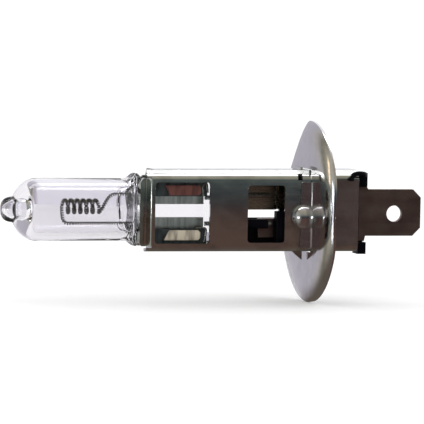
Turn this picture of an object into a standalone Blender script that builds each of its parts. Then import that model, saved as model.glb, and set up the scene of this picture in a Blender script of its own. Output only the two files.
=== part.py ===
"""Single-filament halogen headlight bulb with a prefocus flange and one blade terminal.

Frame: +X runs along the bulb from the glass tip to the blade, +Z is up, and the flat wide faces of the
holder, the pinch and the blade all face -Y and +Y.  The origin is on the holder's axis, in the plane of
the flange's front face.
"""

import math

import bmesh
import bpy
from mathutils import Vector

MM = 0.001

# Capsule: one piece of quartz, tube, domed end, sealed exhaust tip and flat pinch.
CAPSULE_RISE = 0.27 * MM  # the capsule's axis above the flange's axis
TUBE_RADIUS = 4.2 * MM
BORE_RADIUS = 3.15 * MM
TIP_X = -42.4 * MM
TIP_LENGTH = 2.0 * MM
TIP_RADIUS = 1.72 * MM
DOME_X = -37.4 * MM  # where the straight tube turns into the dome
DOME_LENGTH = 3.55 * MM
CAVITY_END_X = -38.8 * MM
CAVITY_CORNER = 1.8 * MM
EXHAUST_POCKET_RADIUS = 0.5 * MM
EXHAUST_POCKET_LENGTH = 3.3 * MM
PINCH_START_X = -25.3 * MM
PINCH_THIN_X = -23.95 * MM  # full tube depth to pinch thickness ends here
PINCH_FLAT_X = -23.0 * MM  # and the edges are straight from here
PINCH_END_X = -13.7 * MM
PINCH_HALF_THICKNESS = 1.4 * MM
PINCH_HALF_WIDTH = 4.2 * MM
PINCH_EAR_HALF_WIDTH = 4.9 * MM
PINCH_EAR_X = -23.9 * MM
TROUGH_START_X = -26.4 * MM
TROUGH_THIN_X = -24.5 * MM
TROUGH_END_X = -22.9 * MM
TROUGH_HALF_THICKNESS = 0.75 * MM
TROUGH_HALF_WIDTH = 3.7 * MM
RIB_X = (-20.1 * MM, -14.8 * MM)
RIB_HALF_HEIGHT = 0.72 * MM
RIB_OFFSET = 3.25 * MM
RIB_RISE = 0.4 * MM
RIB_CHAMFER = 0.55 * MM
RING_POINTS = 32
CAPSULE_SECTIONS = 10

# Filament, wound round an axis parallel to the tube.
COIL_AXIS_RISE = 0.4 * MM  # above the capsule's axis
COIL_START_X = -34.0 * MM
COIL_PITCH = 0.85 * MM
COIL_RADIUS = 0.83 * MM
COIL_TURNS = 5.75
COIL_POINTS_PER_TURN = 14
FILAMENT_WIRE_RADIUS = 0.21 * MM
LEG_THINNING = 0.5  # the straight legs' radius over the coiled wire's
JACKET_BORE_RADIUS = 0.14 * MM
JACKET_RADIUS = 0.22 * MM
UPPER_JACKET_X = (-27.0 * MM, -24.3 * MM)
LOWER_JACKET_X = (-32.5 * MM, -24.05 * MM)
UPPER_LEG_Z = 2.07 * MM  # the legs' heights are counted from the capsule's axis
LOWER_LEG_Z = -1.9 * MM
UPPER_LEG_END_X = -24.15 * MM
LOWER_LEG_END_X = -23.9 * MM

# Leads and foils that carry the current through the pinch.
INNER_LEAD_RADIUS = 0.25 * MM
OUTER_LEAD_RADIUS = 0.3 * MM
FOIL_X = (-22.35 * MM, -14.35 * MM)
FOIL_THICKNESS = 0.1 * MM
FOIL_WIDTH = 1.75 * MM
UPPER_FOIL_Z = 1.6 * MM
LOWER_FOIL_Z = -1.9 * MM
CHANNEL_GAP = 0.1 * MM
OUTER_LEAD_START_X = -14.2 * MM
SLEEVE_X = (-10.2 * MM, -5.6 * MM)
SLEEVE_Y = -1.12 * MM
SLEEVE_BORE_RADIUS = 0.36 * MM
SLEEVE_RADIUS = 0.62 * MM

# Holder: two sheet-steel channels that nest to make a box round the pinch.
SHEET = 0.42 * MM
BEND_RADIUS = 0.62 * MM  # on the sheet's middle line
BOX_HALF_DEPTH = 2.75 * MM
BOX_HALF_HEIGHT = 5.25 * MM
NEST_GAP = 0.04 * MM
BOX_X = (-22.9 * MM, 6.75 * MM)
WALL_REACH = 1.8 * MM  # how far each channel's top and bottom walls reach past the middle
JAW_X = (-24.0 * MM, -21.8 * MM)
JAW_HALF_WIDTH = 4.55 * MM
JAW_CORNER = 0.7 * MM
JAW_BEND = 0.26 * MM
JAW_CLEARANCE = 0.12 * MM
JAW_SLIT = 0.16 * MM
JAW_BAR_X = -22.15 * MM  # the wall's bar between the mouth and the first window ends here
RELIEF_X = -21.6 * MM  # each channel's top and bottom walls start here beyond the jaws' plane
FRONT_WINDOWS = (
    ((-21.75 * MM, -14.1 * MM), (-4.15 * MM, 4.05 * MM)),
    ((-8.8 * MM, -3.6 * MM), (-4.05 * MM, 3.65 * MM)),
)
BACK_WINDOWS = (
    ((-21.75 * MM, -12.75 * MM), (-4.15 * MM, 4.05 * MM)),
    ((-9.6 * MM, -2.87 * MM), (-4.05 * MM, 3.65 * MM)),
)
WINDOW_CORNER = 0.45 * MM
LUG_X = (-1.9 * MM, -0.4 * MM)
LUG_DROP = 1.25 * MM
NOTCH_X = (-1.85 * MM, -1.2 * MM)
TOP_LUG_LENGTH = 0.3 * MM
TOP_LUG_RISE = 0.35 * MM

# Flange: a pressed disc, flat with a slightly lower seat and curved back to its rim, with one long flat and
# one short flat on its rim, and two collars turned up along the holder with a domed boss on each.
FLANGE_FACE_X = 0.0 * MM
FLANGE_RADIUS = 12.23 * MM
FLANGE_FLAT_RADIUS = 6.9 * MM
FLANGE_SEAT_RADII = (7.1 * MM, 8.2 * MM)
FLANGE_SEAT_STEP = 0.06 * MM
FLANGE_RIM_DEPTH = 0.5 * MM
FLANGE_RIM_POWER = 3.0
FLANGE_RIM_STEPS = 6
FLANGE_THICKNESS = 0.32 * MM
FLANGE_CHORD_ANGLE = math.radians(42)  # from +Y towards +Z
FLANGE_CHORD_DISTANCE = 8.63 * MM
FLANGE_SHORT_FLAT_DISTANCE = 11.6 * MM
FLANGE_CORNER_SHARPNESS = 60  # higher is sharper where a flat meets the round rim
FLANGE_SEGMENTS = 168
FLANGE_GAP = 0.1 * MM
COLLAR_X = -1.43 * MM
COLLAR_Z = (-4.7 * MM, 4.1 * MM)
COLLAR_THICKNESS = 0.34 * MM
COLLAR_BEND = 0.3 * MM
BOSS_RADIUS = 1.72 * MM
BOSS_X = -1.05 * MM
BOSS_Y = 2.95 * MM
BOSS_Z = -0.6 * MM

# Terminal: a 6.3 mm blade with a wide root and a narrow tail inside the holder.
BLADE_WIDTH = 6.3 * MM
BLADE_THICKNESS = 0.8 * MM
BLADE_Z = -0.15 * MM
BLADE_END_X = 16.35 * MM
BLADE_SHOULDER_X = 8.5 * MM
BLADE_CHAMFER = 1.1 * MM
BLADE_HOLE_RADIUS = 1.1 * MM
BLADE_HOLE_X = 12.62 * MM
BLADE_HOLE_Z = -0.3 * MM
ROOT_WIDTH = 7.7 * MM
ROOT_X = -0.6 * MM
TAIL_X = -6.6 * MM
TAIL_Z = (-3.5 * MM, -0.95 * MM)
STRAP_Z = (0.15 * MM, 3.45 * MM)
STRAP_Y = 0.95 * MM
STRAP_X = (-9.6 * MM, -2.9 * MM)
STRAP_THICKNESS = 0.35 * MM

# Insulator: two moulded halves with the blade's root between them.
FRONT_INSULATOR_X = -4.45 * MM
BACK_INSULATOR_X = -9.3 * MM
INSULATOR_END_X = 7.15 * MM
INSULATOR_THICKNESS = 1.3 * MM
INSULATOR_GAP = 0.12 * MM
INSULATOR_STEP_X = -0.3 * MM
FRONT_STEP_Z = 0.1 * MM
BACK_STEP_Z = -0.95 * MM
INSULATOR_HALF_HEIGHT = 4.35 * MM
EAR_X = (7.3 * MM, 8.45 * MM)
LOWER_EAR_Z = -5.7 * MM
UPPER_EAR_Z = 5.25 * MM
UPPER_EAR_DROP = 0.45 * MM  # how far the upper ear reaches down past the root's edge, in front of it
HOOK_RADIUS = 0.33 * MM
HOOK_END = (5.6 * MM, 4.3 * MM)  # x, z

ARC_STEPS = 5


def clear_scene():
    for obj in list(bpy.data.objects):
        bpy.data.objects.remove(obj, do_unlink=True)


def make_material(name, colour, roughness, metallic=0.0, transmission=0.0):
    material = bpy.data.materials.new(name)
    material.use_nodes = True
    shader = material.node_tree.nodes["Principled BSDF"]
    shader.inputs["Base Color"].default_value = (*colour, 1.0)
    shader.inputs["Roughness"].default_value = roughness
    shader.inputs["Metallic"].default_value = metallic
    shader.inputs["Transmission Weight"].default_value = transmission
    return material


def add_object(name, shape, material=None):
    """Makes an object of a bmesh; one with no material is a cutter or a helper."""
    bmesh.ops.recalc_face_normals(shape, faces=shape.faces)
    mesh = bpy.data.meshes.new(name)
    shape.to_mesh(mesh)
    shape.free()
    obj = bpy.data.objects.new(name, mesh)
    bpy.context.scene.collection.objects.link(obj)
    if material is None:
        obj.hide_render = True
        obj.display_type = "WIRE"
    else:
        mesh.materials.append(material)
        mesh.shade_smooth()
        mesh.set_sharp_from_angle(angle=math.radians(30))
    return obj


def combine(target, operation, *others):
    """Adds a Boolean for each other object: DIFFERENCE or UNION."""
    for other in others:
        modifier = target.modifiers.new(f"{operation.lower()} {other.name}", "BOOLEAN")
        modifier.operation = operation
        modifier.solver = "EXACT"
        modifier.object = other


def block(name, x, y, z, material=None):
    """A rectangular block between the two ends given on each axis."""
    shape = bmesh.new()
    bmesh.ops.create_cube(shape, size=1.0)
    for vertex in shape.verts:
        for axis, (low, high) in enumerate((x, y, z)):
            vertex.co[axis] = low if vertex.co[axis] < 0 else high
    return add_object(name, shape, material)


def extrude(name, outline, axis, low, high, material=None):
    """A prism: a closed 2-D outline drawn across an axis (X: y,z; Y: x,z; Z: x,y) and drawn out along it."""
    place = {
        "X": lambda a, b, along: (along, a, b),
        "Y": lambda a, b, along: (a, along, b),
        "Z": lambda a, b, along: (a, b, along),
    }[axis]
    shape = bmesh.new()
    ends = [[shape.verts.new(place(a, b, along)) for a, b in outline] for along in (low, high)]
    for ring in ends:
        shape.faces.new(ring)
    count = len(outline)
    for i in range(count):
        j = (i + 1) % count
        shape.faces.new((ends[0][i], ends[0][j], ends[1][j], ends[1][i]))
    return add_object(name, shape, material)


def fillet(before, corner, after, radius, steps=ARC_STEPS):
    """Points of the arc that rounds a corner of a 2-D path."""
    before, corner, after = Vector(before), Vector(corner), Vector(after)
    back, ahead = (before - corner).normalized(), (after - corner).normalized()
    half = back.angle(ahead) / 2
    centre = corner + (back + ahead).normalized() * (radius / math.sin(half))
    start = corner + back * (radius / math.tan(half)) - centre
    end = corner + ahead * (radius / math.tan(half)) - centre
    turn = start.angle_signed(end)
    points = []
    for i in range(steps + 1):
        angle = -turn * i / steps
        cosine, sine = math.cos(angle), math.sin(angle)
        spoke = Vector((start.x * cosine - start.y * sine, start.x * sine + start.y * cosine))
        points.append(centre + spoke)
    return points


def rounded_path(corners, radius):
    """An open 2-D path with each inner corner rounded."""
    path = [Vector(corners[0])]
    for before, corner, after in zip(corners, corners[1:], corners[2:]):
        path += fillet(before, corner, after, radius)
    return path + [Vector(corners[-1])]


def rounded_outline(corners, radius):
    """A closed 2-D outline with each corner rounded."""
    outline = []
    for i, corner in enumerate(corners):
        outline += fillet(corners[i - 1], corner, corners[(i + 1) % len(corners)], radius)
    return outline


def sheet_outline(path, thickness):
    """The closed outline of a sheet of that thickness, seen edge-on, whose middle line is the path."""
    left, right = [], []
    for i, point in enumerate(path):
        ahead = (path[min(i + 1, len(path) - 1)] - point).normalized() if i < len(path) - 1 else None
        behind = (point - path[i - 1]).normalized() if i else None
        along = ((ahead or behind) + (behind or ahead)).normalized()
        reach = thickness / 2 / max(0.5, along.dot(ahead or behind))
        normal = Vector((-along.y, along.x)) * reach
        left.append(point + normal)
        right.append(point - normal)
    return left + right[::-1]


def rectangle(x, z):
    return [(x[0], z[0]), (x[1], z[0]), (x[1], z[1]), (x[0], z[1])]


def wire(name, points, radius, material, sides=2, thin=(), thinning=1.0):
    """A round wire along the points, thinner at those whose places in the list are in thin."""
    curve = bpy.data.curves.new(name, "CURVE")
    curve.dimensions = "3D"
    curve.bevel_depth = radius
    curve.bevel_resolution = sides
    curve.use_fill_caps = True
    spline = curve.splines.new("POLY")
    spline.points.add(len(points) - 1)
    for target, point in zip(spline.points, points):
        target.co = (*point, 1.0)
    for place in thin:
        spline.points[place].radius = thinning
    obj = bpy.data.objects.new(name, curve)
    curve.materials.append(material)
    bpy.context.scene.collection.objects.link(obj)
    return obj


def smooth_route(points, per_span=4):
    """Points of a Catmull-Rom curve through a short list of points."""
    points = [Vector(p) for p in points]
    padded = [2 * points[0] - points[1], *points, 2 * points[-1] - points[-2]]
    route = []
    for a, b, c, d in zip(padded, padded[1:], padded[2:], padded[3:]):
        for i in range(per_span):
            t = i / per_span
            cubic = (2 * a - 5 * b + 4 * c - d) * t**2 + (3 * b - a - 3 * c + d) * t**3
            route.append(0.5 * (2 * b + (c - a) * t + cubic))
    return route + [points[-1]]


def superellipse_drop(distance, length, power):
    """How much of its full radius a rounded end keeps at a distance into its length."""
    share = min(max(distance / length, 0.0), 1.0)
    return (1.0 - share**power) ** (1.0 / power)


def blend_radii(first, second):
    """The larger of two radii, with a small fillet where they are equal."""
    return (first**8 + second**8) ** 0.125


def ease(value, low, high):
    share = min(max((value - low) / (high - low), 0.0), 1.0)
    return share * share * (3 - 2 * share)


def capsule_section(x):
    """(half depth, half height, squareness) of the capsule's outside at x."""
    dome = TUBE_RADIUS * superellipse_drop(DOME_X - x, DOME_LENGTH, 2)
    tip = TIP_RADIUS * superellipse_drop(TIP_X + TIP_LENGTH - x, TIP_LENGTH, 3)
    radius = blend_radii(dome, tip)
    pressed = ease(x, PINCH_START_X, PINCH_THIN_X)
    spread = ease(x, PINCH_START_X + 0.4 * MM, PINCH_EAR_X) * (PINCH_EAR_HALF_WIDTH - radius)
    drawn_in = ease(x, PINCH_EAR_X, PINCH_FLAT_X) * (PINCH_EAR_HALF_WIDTH - PINCH_HALF_WIDTH)
    depth = radius + pressed * (PINCH_HALF_THICKNESS - radius)
    return depth, radius + spread - drawn_in, 2 + 5 * pressed


def cavity_section(x):
    """(half depth, half height, squareness) of the space inside the capsule at x."""
    end = BORE_RADIUS * superellipse_drop(CAVITY_END_X + CAVITY_CORNER - x, CAVITY_CORNER, 3)
    pocket_start = CAVITY_END_X + CAVITY_CORNER
    pocket = EXHAUST_POCKET_RADIUS * superellipse_drop(pocket_start - x, EXHAUST_POCKET_LENGTH, 2)
    radius = blend_radii(end, pocket)
    pressed = ease(x, TROUGH_START_X, TROUGH_THIN_X)
    depth = radius + pressed * (TROUGH_HALF_THICKNESS - radius)
    widened = ease(x, TROUGH_START_X, TROUGH_END_X)
    return depth, radius + widened * (TROUGH_HALF_WIDTH - radius), 2 + pressed


def loft(name, section, stations, material=None):
    """A closed body with a superelliptic ring at each station along X, about the capsule's axis."""
    shape = bmesh.new()
    rings = []
    for x in stations:
        depth, height, power = section(x)
        ring = []
        for i in range(RING_POINTS):
            angle = math.tau * i / RING_POINTS
            cosine, sine = math.cos(angle), math.sin(angle)
            y = depth * math.copysign(abs(cosine) ** (2 / power), cosine)
            z = height * math.copysign(abs(sine) ** (2 / power), sine)
            ring.append(shape.verts.new((x, y, z + CAPSULE_RISE)))
        rings.append(ring)
    for first, second in zip(rings, rings[1:]):
        for i in range(RING_POINTS):
            j = (i + 1) % RING_POINTS
            shape.faces.new((first[i], first[j], second[j], second[i]))
    shape.faces.new(rings[0])
    shape.faces.new(rings[-1])
    return add_object(name, shape, material)


def end_stations(tip, root, count=CAPSULE_SECTIONS):
    """Stations from a rounded end to its root, closer together near the end."""
    return [tip + (root - tip) * (1 - math.cos(math.pi / 2 * i / count)) for i in range(1, count)]


def even_stations(low, high, count):
    return [low + (high - low) * i / count for i in range(count + 1)]


def capsule(quartz):
    """The quartz envelope: outside, less the space for the filament and the passages for the foils."""
    outside = (
        end_stations(TIP_X, TIP_X + TIP_LENGTH, 6)
        + even_stations(TIP_X + TIP_LENGTH, DOME_X, 7)
        + even_stations(PINCH_START_X, PINCH_FLAT_X, 10)
        + [PINCH_END_X]
    )
    body = loft("quartz_capsule", capsule_section, outside, quartz)
    pocket_tip = CAVITY_END_X + CAVITY_CORNER - EXHAUST_POCKET_LENGTH
    inside = (
        even_stations(pocket_tip + 0.05 * MM, CAVITY_END_X, 3)
        + end_stations(CAVITY_END_X, CAVITY_END_X + CAVITY_CORNER, 6)
        + [CAVITY_END_X + CAVITY_CORNER]
        + even_stations(TROUGH_START_X, TROUGH_END_X, 9)
    )
    cavity = loft("cavity_cutter", cavity_section, inside)
    combine(body, "DIFFERENCE", cavity)
    for level in (UPPER_FOIL_Z, LOWER_FOIL_Z):
        combine(body, "DIFFERENCE", *foil_passages(level + CAPSULE_RISE))
    for face in (-1, 1):
        for side in (-1, 1):
            combine(body, "UNION", pinch_rib(face, side))
    return body


def foil_passages(z):
    """Cutters for one foil, and for the thicker leads at its two ends."""
    name = f"passage_{round(z / MM)}"
    half_slot = FOIL_THICKNESS / 2 + CHANNEL_GAP
    half_width = FOIL_WIDTH / 2 + CHANNEL_GAP
    half_lead = OUTER_LEAD_RADIUS + CHANNEL_GAP
    past_end = PINCH_END_X + 0.5 * MM
    before_trough = TROUGH_END_X - 0.3 * MM
    slot = block(
        name + "_slot", (before_trough, past_end), (-half_slot, half_slot), (z - half_width, z + half_width)
    )
    inner = block(
        name + "_inner",
        (before_trough, FOIL_X[0] + 0.1 * MM),
        (-half_lead, half_lead),
        (z - half_width, z + half_width),
    )
    outer = block(
        name + "_outer",
        (FOIL_X[1] - 0.1 * MM, past_end),
        (-half_lead, half_lead),
        (z - half_lead, z + half_lead),
    )
    return slot, inner, outer


def pinch_rib(face, side):
    """A lozenge-shaped rib on one face of the pinch, near its upper or lower edge."""
    middle = CAPSULE_RISE + side * RIB_OFFSET
    x0, x1 = RIB_X
    low, high = middle - RIB_HALF_HEIGHT, middle + RIB_HALF_HEIGHT
    outline = [
        (x0 + RIB_CHAMFER, low), (x1 - RIB_CHAMFER, low), (x1, middle),
        (x1 - RIB_CHAMFER, high), (x0 + RIB_CHAMFER, high), (x0, middle),
    ]  # fmt: skip
    inner, outer = PINCH_HALF_THICKNESS - 0.3 * MM, PINCH_HALF_THICKNESS + RIB_RISE
    low_y, high_y = sorted((face * inner, face * outer))
    return extrude(f"rib_{face}_{side}", outline, "Y", low_y, high_y)


def filament(tungsten):
    """The coiled filament with its two straight legs, as one wire."""
    axis_z = CAPSULE_RISE + COIL_AXIS_RISE
    lower, upper = CAPSULE_RISE + LOWER_LEG_Z, CAPSULE_RISE + UPPER_LEG_Z
    rise = smooth_route(
        [
            (COIL_START_X + 1.3 * MM, 0.0, lower),
            (COIL_START_X + 0.45 * MM, 0.0, lower + 0.02 * MM),
            (COIL_START_X + 0.02 * MM, 0.15 * MM, lower + 0.5 * MM),
            (COIL_START_X - 0.05 * MM, 0.6 * MM, axis_z - 0.75 * MM),
        ],
        3,
    )
    coil = []
    steps = round(COIL_TURNS * COIL_POINTS_PER_TURN)
    for i in range(steps + 1):
        turns = COIL_TURNS * i / steps
        angle = math.tau * turns - math.pi / 2
        x = COIL_START_X + COIL_PITCH * turns
        coil.append((x, -COIL_RADIUS * math.sin(angle), axis_z + COIL_RADIUS * math.cos(angle)))
    end_x = COIL_START_X + COIL_PITCH * COIL_TURNS
    climb = smooth_route(
        [
            (end_x + 0.4 * MM, 0.15 * MM, axis_z - 0.55 * MM),
            (end_x + 0.95 * MM, 0.1 * MM, axis_z + 0.45 * MM),
            (end_x + 1.6 * MM, 0.0, upper - 0.35 * MM),
            (end_x + 2.3 * MM, 0.0, upper),
        ],
        3,
    )
    route = [(LOWER_LEG_END_X, 0.0, lower), *rise, *coil, *climb, (UPPER_LEG_END_X, 0.0, upper)]
    legs = (0, 1, len(route) - 2, len(route) - 1)
    return wire("filament", route, FILAMENT_WIRE_RADIUS, tungsten, 1, legs, LEG_THINNING)


def leg_jackets(tungsten):
    """The finely wound sleeves on the filament's two straight legs."""
    radii = (JACKET_BORE_RADIUS, JACKET_RADIUS)
    turned("leg_jacket_upper", radii, UPPER_JACKET_X, UPPER_LEG_Z + CAPSULE_RISE, tungsten)
    turned("leg_jacket_lower", radii, LOWER_JACKET_X, LOWER_LEG_Z + CAPSULE_RISE, tungsten)


def inner_leads(molybdenum):
    """The two stiff wires that leave the foils and are bent across the ends of the filament's legs."""
    foot = FOIL_X[0] - 0.15 * MM
    upper = [
        (foot, 0.0, 0.95 * MM),
        (-23.1 * MM, 0.0, 0.7 * MM),
        (-23.5 * MM, 0.0, 1.0 * MM),
        (-23.72 * MM, 0.0, 2.0 * MM),
        (-24.15 * MM, 0.0, 3.1 * MM),
    ]
    lower = [
        (foot, 0.0, -1.5 * MM),
        (-23.1 * MM, 0.0, -1.45 * MM),
        (-23.45 * MM, 0.0, -1.9 * MM),
        (-23.65 * MM, 0.0, -2.7 * MM),
        (-24.1 * MM, 0.0, -3.3 * MM),
    ]
    for name, points in (("inner_lead_upper", upper), ("inner_lead_lower", lower)):
        raised = [(x, y, z + CAPSULE_RISE) for x, y, z in points]
        wire(name, smooth_route(raised, 3), INNER_LEAD_RADIUS, molybdenum, 2)


def foils(molybdenum):
    half = FOIL_THICKNESS / 2
    for name, level in (("foil_upper", UPPER_FOIL_Z), ("foil_lower", LOWER_FOIL_Z)):
        z = level + CAPSULE_RISE
        block(name, FOIL_X, (-half, half), (z - FOIL_WIDTH / 2, z + FOIL_WIDTH / 2), molybdenum)


def outer_leads(molybdenum, sleeve_braid):
    """The wires from the pinch to the ground strap and the blade's tail, with the live one's sleeve."""
    strap_face = STRAP_Y - STRAP_THICKNESS / 2 - OUTER_LEAD_RADIUS - NEST_GAP
    tail_face = -BLADE_THICKNESS / 2 - OUTER_LEAD_RADIUS - 2 * NEST_GAP
    upper, lower = UPPER_FOIL_Z + CAPSULE_RISE, LOWER_FOIL_Z + CAPSULE_RISE
    ground = smooth_route(
        [
            (OUTER_LEAD_START_X, 0.0, upper),
            (-12.4 * MM, 0.0, upper),
            (-10.8 * MM, strap_face * 0.6, upper + 0.15 * MM),
            (-9.3 * MM, strap_face, upper + 0.25 * MM),
            (-4.8 * MM, strap_face, upper + 0.25 * MM),
        ]
    )
    start, end = SLEEVE_X
    into_sleeve = smooth_route(
        [
            (OUTER_LEAD_START_X, 0.0, lower),
            (-12.9 * MM, SLEEVE_Y * 0.12, lower),
            (start - 1.5 * MM, SLEEVE_Y * 0.8, lower),
            (start - 0.7 * MM, SLEEVE_Y, lower),
            (start, SLEEVE_Y, lower),
        ]
    )
    out_of_sleeve = smooth_route(
        [(end, SLEEVE_Y, lower), (end + 0.5 * MM, SLEEVE_Y * 0.92, lower), (end + 1.0 * MM, tail_face, lower)]
    )
    wire("outer_lead_upper", ground, OUTER_LEAD_RADIUS, molybdenum)
    wire("outer_lead_lower", into_sleeve + out_of_sleeve, OUTER_LEAD_RADIUS, molybdenum)
    tube = turned("lead_sleeve", (SLEEVE_BORE_RADIUS, SLEEVE_RADIUS), SLEEVE_X, lower, sleeve_braid)
    tube.location.y = SLEEVE_Y


def turned(name, radii, x, z, material):
    """A plain tube along X, centred at height z."""
    inner, outer = radii
    shape = bmesh.new()
    loop = [
        shape.verts.new((x[0], 0, inner)), shape.verts.new((x[0], 0, outer)),
        shape.verts.new((x[1], 0, outer)), shape.verts.new((x[1], 0, inner)),
    ]  # fmt: skip
    edges = [shape.edges.new((loop[i], loop[(i + 1) % 4])) for i in range(4)]
    bmesh.ops.spin(
        shape, geom=loop + edges, cent=(0, 0, 0), axis=(1, 0, 0), angle=math.tau, steps=16, use_merge=True
    )
    bmesh.ops.translate(shape, vec=(0, 0, z), verts=shape.verts)
    return add_object(name, shape, material)


def channel(name, face, rise, windows, steel):
    """One sheet channel of the holder: a wall on the -Y or +Y face with top and bottom walls bent from it."""
    wall = face * (BOX_HALF_DEPTH - SHEET / 2)
    reach = -face * WALL_REACH
    half = BOX_HALF_HEIGHT - SHEET / 2
    bottom, top = -half + rise, half + rise
    section = rounded_path([(reach, bottom), (wall, bottom), (wall, top), (reach, top)], BEND_RADIUS)
    shell = extrude(name, sheet_outline(section, SHEET), "X", *BOX_X, steel)
    low, high = sorted((face * (BOX_HALF_DEPTH + MM), face * (BOX_HALF_DEPTH - MM)))
    for i, (x, z) in enumerate(windows):
        outline = rounded_outline(rectangle(x, z), WINDOW_CORNER)
        combine(shell, "DIFFERENCE", extrude(f"{name}_window_{i}", outline, "Y", low, high))
    clear = JAW_HALF_WIDTH + JAW_SLIT
    mouth = block(name + "_mouth", (BOX_X[0] - MM, JAW_BAR_X), (low, high), (-clear, clear))
    combine(shell, "DIFFERENCE", mouth)
    combine(shell, "UNION", jaw(name + "_jaw", face))
    return shell


def jaw(name, face):
    """The spring jaw at the holder's mouth: it dips in to grip the pinch and flares out again at its end."""
    wall = BOX_HALF_DEPTH - SHEET / 2
    grip = PINCH_HALF_THICKNESS + JAW_CLEARANCE + SHEET / 2
    path = [
        (JAW_X[1], wall),
        (JAW_BAR_X, wall),
        (JAW_BAR_X - 0.55 * MM, grip),
        (JAW_BAR_X - 0.95 * MM, grip),
        (JAW_X[0], wall + 0.1 * MM),
    ]
    path = [(x, face * y) for x, y in path]
    profile = sheet_outline(rounded_path(path, JAW_BEND), SHEET - 0.04 * MM)
    strip = extrude(name, profile, "Z", -JAW_HALF_WIDTH, JAW_HALF_WIDTH)
    for side in (-1, 1):
        edge = side * JAW_HALF_WIDTH
        corner = [
            (JAW_X[0] - MM, edge - side * (JAW_CORNER + MM)),
            (JAW_X[0] + JAW_CORNER, edge + side * 0.05 * MM),
            (JAW_X[0] - MM, edge + side * MM),
        ]
        reach = (-BOX_HALF_DEPTH - MM, BOX_HALF_DEPTH + MM)
        combine(strip, "DIFFERENCE", extrude(f"{name}_corner_{side}", corner, "Y", *reach))
    return strip


def holder(steel):
    """The two nested channels, with the lugs that stop them against the flange."""
    front = channel("holder_front_shell", -1, 0.0, FRONT_WINDOWS, steel)
    back = channel("holder_back_shell", 1, SHEET + NEST_GAP, BACK_WINDOWS, steel)
    for side in (-1, 1):
        combine(front, "DIFFERENCE", wall_relief(-1, side))
        combine(back, "DIFFERENCE", wall_relief(1, side), bend_relief(side))
    underside = -BOX_HALF_HEIGHT
    lug = [
        (LUG_X[0], underside + 0.2 * MM),
        (LUG_X[1], underside + 0.2 * MM),
        (LUG_X[1], underside - LUG_DROP),
        (LUG_X[0], underside - 0.05 * MM),
    ]
    combine(front, "UNION", extrude("bottom_lug", lug, "Y", -0.5 * MM, -0.5 * MM + SHEET))
    top = BOX_HALF_HEIGHT + SHEET + NEST_GAP
    notch_y = (-BOX_HALF_DEPTH - MM, -1.0 * MM)
    notch_z = (BOX_HALF_HEIGHT - 0.9 * MM, top + MM)
    combine(front, "DIFFERENCE", block("front_notch", NOTCH_X, notch_y, notch_z))
    lug_z = (top - 0.2 * MM, top + TOP_LUG_RISE)
    lug_x = (NOTCH_X[1], NOTCH_X[1] + TOP_LUG_LENGTH)
    combine(back, "UNION", block("top_lug", lug_x, (-1.7 * MM, 0.6 * MM), lug_z))
    return front, back


def wall_relief(face, side):
    """A cutter that sets a channel's top or bottom wall back from the mouth, clear of the other jaw."""
    x = (BOX_X[0] - MM, RELIEF_X)
    y = sorted((-face * BOX_HALF_DEPTH, face * PINCH_HALF_THICKNESS))
    z = sorted((side * (JAW_HALF_WIDTH - SHEET), side * (BOX_HALF_HEIGHT + 2 * MM)))
    return block(f"wall_relief_{face}_{side}", x, y, z)


def bend_relief(side):
    """A cutter that sets the back channel's bend back from the mouth, beside the jaw."""
    x = (BOX_X[0] - MM, RELIEF_X)
    z = sorted((side * (JAW_HALF_WIDTH + JAW_SLIT), side * (BOX_HALF_HEIGHT + 2 * MM)))
    return block(f"bend_relief_{side}", x, (0.0, BOX_HALF_DEPTH + MM), z)


def rim_radius(angle):
    """The flange's outline: round, with the long and the short flat."""
    flats = ((FLANGE_CHORD_ANGLE, FLANGE_CHORD_DISTANCE), (math.pi, FLANGE_SHORT_FLAT_DISTANCE))
    total = FLANGE_RADIUS**-FLANGE_CORNER_SHARPNESS
    for normal, distance in flats:
        facing = max(math.cos(angle - normal), 0.0)
        total += (facing / distance) ** FLANGE_CORNER_SHARPNESS
    return total ** (-1 / FLANGE_CORNER_SHARPNESS)


def flange_ring_radii(angle):
    """The radii of the disc's rings of points at one angle, from the flat's edge out to the rim."""
    start, rim = FLANGE_SEAT_RADII[1], rim_radius(angle)
    steps = [start + (rim - start) * i / FLANGE_RIM_STEPS for i in range(1, FLANGE_RIM_STEPS + 1)]
    return [FLANGE_FLAT_RADIUS, *FLANGE_SEAT_RADII, *steps]


def flange_depth(radius):
    """How far behind the flat face the disc's front is at a radius."""
    if radius <= FLANGE_FLAT_RADIUS:
        return 0.0
    start = FLANGE_SEAT_RADII[1]
    share = max(radius - start, 0.0) / (FLANGE_RADIUS - start)
    return FLANGE_SEAT_STEP + FLANGE_RIM_DEPTH * share**FLANGE_RIM_POWER


def flange_side(shape, x):
    """One side of the disc, from its middle point to its rim; gives the rim's points."""
    middle = shape.verts.new((x, 0, 0))
    spokes = []
    for i in range(FLANGE_SEGMENTS):
        angle = math.tau * i / FLANGE_SEGMENTS
        place = Vector((0, math.cos(angle), math.sin(angle)))
        radii = flange_ring_radii(angle)
        spokes.append([shape.verts.new(Vector((x + flange_depth(r), 0, 0)) + place * r) for r in radii])
    for spoke, following in zip(spokes, spokes[1:] + spokes[:1]):
        shape.faces.new((middle, spoke[0], following[0]))
        for i in range(len(spoke) - 1):
            shape.faces.new((spoke[i], spoke[i + 1], following[i + 1], following[i]))
    return [spoke[-1] for spoke in spokes]


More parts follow.
